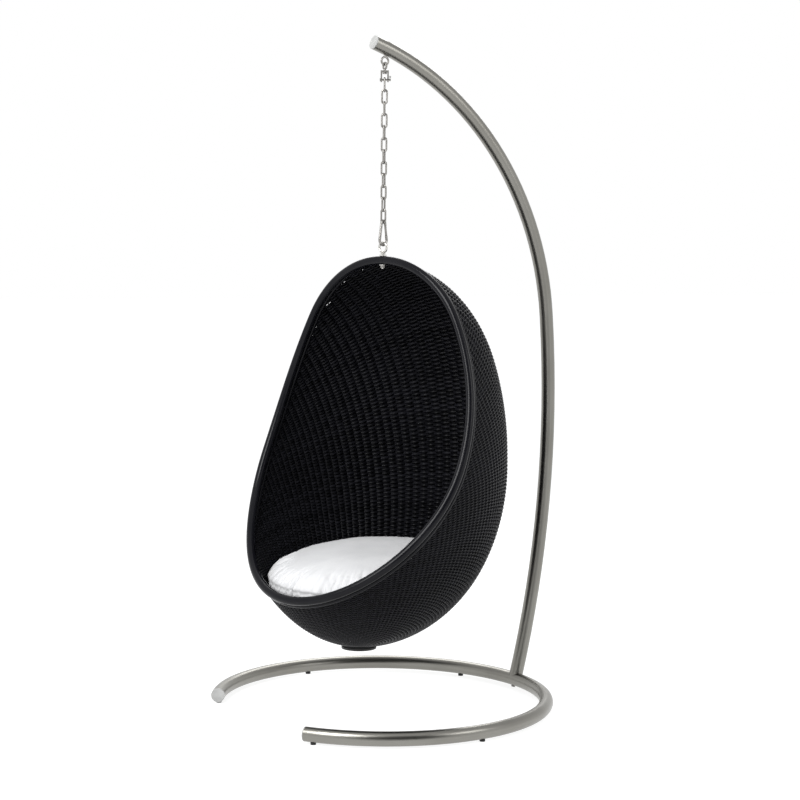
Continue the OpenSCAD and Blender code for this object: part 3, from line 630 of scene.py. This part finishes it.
def make_egg():
    """Wefts in five pieces, stakes, rim and border rod."""
    cane = cane_plastic()
    wefts, stakes = weave_lines()
    size = np.cumsum([len(w[0]) for w in wefts])
    shares = size[-1] * np.arange(1, WEAVE_PIECES) / WEAVE_PIECES
    groups = np.split(np.arange(len(wefts)), np.searchsorted(size, shares))
    made = []
    for k, group in enumerate(groups, 1):
        lines = [wefts[i] for i in group]
        made.append(sweep(f"wefts_{k}", lines, cane, PITCH * COVER, WEFT_THICK, WEFT_WAVE, 4))
    made.append(sweep("stakes", stakes, cane, STAKE_WIDTH, STAKE_THICK, 0.0, 6))
    paint = rim_paint()
    u = np.linspace(0, 2 * math.pi, 289)[:-1]
    hoops = (("rim", "rim_tube", rim_points(u), 2 * RIM_R, 28),
             ("border", "border_rod", egg.on_rays(egg.edge)[::5], 2 * ROD_R, 16))
    for name, node, p, wide, sides in hoops:
        line = (to_row(p), turn_only(unit(p - MIDDLE)), np.zeros(len(p)), np.ones(len(p)), 0.5, True)
        piece = sweep(name, [line], paint, wide, wide, 0.0, sides)
        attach(piece, "chair")
        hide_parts(node)
    for piece in made:
        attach(piece, "chair")
        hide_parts("woven_shell")


# ---------------------------------------------------------------- cushion

def fold_noise(angle, waves, seed):
    """A smooth closed wave of mixed lengths round the cushion's seam."""
    random = np.random.default_rng(seed)
    total = np.zeros_like(angle)
    for n in waves:
        total += np.cos(n * angle + random.uniform(0, 2 * math.pi)) * random.uniform(0.5, 1)
    return total / len(waves)


CUSHION_TILT = math.radians(5)
# Middle of the cushion's seam, and how it is turned against the part's axes
seat = to_row(np.array([[0, -0.033, flat_z + 0.0025 - 0.029 + 0.2405]]))[0]
TURN_C, TURN_S = math.cos(-CHAIR_YAW), math.sin(-CHAIR_YAW)
TILT_C, TILT_S = math.cos(CUSHION_TILT), math.sin(CUSHION_TILT)


def own(p):
    """From the part's frame to the cushion's own, with its seam in the plane z = 0."""
    q = p - seat
    x, y, z = q[:, 0] * TURN_C - q[:, 1] * TURN_S, q[:, 0] * TURN_S + q[:, 1] * TURN_C, q[:, 2]
    return np.stack([x, y * TILT_C + z * TILT_S, -y * TILT_S + z * TILT_C], -1)


def back(p):
    """From the cushion's own frame to the part's."""
    x, y, z = p[:, 0], p[:, 1] * TILT_C - p[:, 2] * TILT_S, p[:, 1] * TILT_S + p[:, 2] * TILT_C
    return np.stack([x * TURN_C + y * TURN_S, -x * TURN_S + y * TURN_C, z], -1) + seat


def points_of(mesh):
    held = np.empty(len(mesh.vertices) * 3)
    mesh.vertices.foreach_get("co", held)
    return held.reshape(-1, 3)


def fill_with_pressure(cushion, rest):
    """Blows the cover up a little as cloth. It starts smaller, as the filling swells it."""
    start = back(own(rest) * np.array([0.972, 0.972, 0.93]))
    cushion.data.vertices.foreach_set("co", start.ravel())
    cloth = cushion.modifiers.new("cloth", "CLOTH")
    settings = cloth.settings
    settings.quality = 5
    settings.mass = 0.3
    settings.tension_stiffness = 12
    settings.bending_stiffness = 0.4
    settings.use_pressure = True
    settings.uniform_pressure_force = 4
    settings.effector_weights.gravity = 0
    cloth.point_cache.frame_start, cloth.point_cache.frame_end = 1, 20
    for f in range(1, 21):
        scene.frame_set(f)
    depsgraph = bpy.context.evaluated_depsgraph_get()
    moved = points_of(cushion.evaluated_get(depsgraph).to_mesh())
    cushion.evaluated_get(depsgraph).to_mesh_clear()
    cushion.modifiers.remove(cloth)
    scene.frame_set(1)
    step = moved - start
    far = np.linalg.norm(step, axis=1, keepdims=True)
    farthest = 0.012
    return start + step * np.minimum(1, farthest / np.maximum(far, 1e-9))


def spare_room(q, radius):
    """How far the cushion's edge can fill out towards the wall of the bowl."""
    turned = back(q) - np.array([0, axis_y, 0])
    x, y = turned[:, 0] * TURN_C - turned[:, 1] * TURN_S, turned[:, 0] * TURN_S + turned[:, 1] * TURN_C
    inside = np.stack([x, y, turned[:, 2]], -1) - MIDDLE
    reach = np.linalg.norm(inside, axis=1)
    wall = np.linalg.norm(egg.point(inside / reach[:, None])[0] - MIDDLE, axis=1)
    return np.clip(wall - reach - 0.010, 0, 0.030) * np.clip((radius - 0.10) / 0.16, 0, 1) ** 2


def dress_cushion(q):
    """Fills out the edge, crowns the seat and lays the folds, in the cushion's own frame."""
    radius, angle = np.hypot(q[:, 0], q[:, 1]), np.arctan2(q[:, 1], q[:, 0])
    spare = spare_room(q, radius)
    q[:, 0] += np.cos(angle) * spare
    q[:, 1] += np.sin(angle) * spare
    radius = radius + spare
    # the filling crowns the middle of the seat
    q[:, 2] += 0.010 * (q[:, 2] > 0) * np.clip(1 - (radius / 0.25) ** 2, 0, 1)
    # gathers at the seam: short folds that run up and in from the edge
    edge = np.clip((radius - 0.185) / 0.085, 0, 1) ** 1.6
    near = edge * np.exp(-(q[:, 2] / 0.062) ** 2)
    drift = angle + 0.10 * fold_noise(angle, (3, 5, 8), 5)
    fold = fold_noise(drift, (64, 71, 83, 47), 3)
    strong = 0.45 + 0.9 * np.clip(fold_noise(angle, (5, 9, 13, 17), 8), 0, 1)
    dent = np.minimum(fold, 0.10) * 0.027 * strong * near
    soft = fold_noise(angle, (6, 7, 11), 21) * 0.004 * edge
    q[:, 0] += np.cos(angle) * dent
    q[:, 1] += np.sin(angle) * dent
    q[:, 2] += dent * 0.6 * np.sign(q[:, 2]) + soft * (q[:, 2] > 0)
    # the seam pulls in a little
    seam = np.exp(-(q[:, 2] / 0.006) ** 2) * (radius > 0.2) * 0.0035
    q[:, 0] -= np.cos(angle) * seam
    q[:, 1] -= np.sin(angle) * seam
    # a shallow hollow in the middle of the seat and uneven filling
    top = np.clip(q[:, 2] / 0.05, 0, 1)
    q[:, 2] -= top * 0.004 * np.exp(-(radius / 0.10) ** 2)
    q[:, 2] += top * 0.0035 * np.sin(q[:, 0] * 17 + 1) * np.cos(q[:, 1] * 14 + 2)
    return q


def make_cushion():
    """The round cushion, from its solid."""
    mesh = nodes["cushion"].data.copy()
    mesh.materials.clear()
    cushion = bpy.data.objects.new("seat_cushion", mesh)
    scene.collection.objects.link(cushion)
    bpy.context.view_layer.objects.active = cushion
    for o in scene.objects:
        o.select_set(o == cushion)
    for attribute in [a.name for a in mesh.attributes if a.name.startswith("custom_normal")]:
        mesh.attributes.remove(mesh.attributes[attribute])
    cushion.modifiers.new("weld", "WELD").merge_threshold = 0.0002
    remesh = cushion.modifiers.new("remesh", "REMESH")
    remesh.mode = "VOXEL"
    remesh.voxel_size = 0.006
    for m in list(cushion.modifiers):
        bpy.ops.object.modifier_apply(modifier=m.name)
    rest = points_of(mesh)
    q = own(rest)
    # the swollen shape is brought back to the solid's width and height
    swollen = own(fill_with_pressure(cushion, rest))
    swollen[:, :2] *= np.hypot(q[:, 0], q[:, 1]).max() / np.hypot(swollen[:, 0], swollen[:, 1]).max()
    for side in (swollen[:, 2] > 0, swollen[:, 2] < 0):
        swollen[side, 2] *= np.abs(q[side, 2]).max() / np.abs(swollen[side, 2]).max()
    mesh.vertices.foreach_set("co", back(swollen).ravel())
    mesh.update()
    smooth = cushion.modifiers.new("soften", "SUBSURF")
    smooth.levels = smooth.render_levels = 1
    bpy.ops.object.modifier_apply(modifier="soften")
    mesh = cushion.data
    mesh.vertices.foreach_set("co", back(dress_cushion(own(points_of(mesh)))).ravel())
    mesh.update()
    cushion.data.shade_smooth()
    cushion.data.materials.append(canvas())
    cushion.select_set(False)
    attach(cushion, "chair")
    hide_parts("cushion")


set_camera()
set_studio()
dress_nodes()
make_egg()
make_cushion()
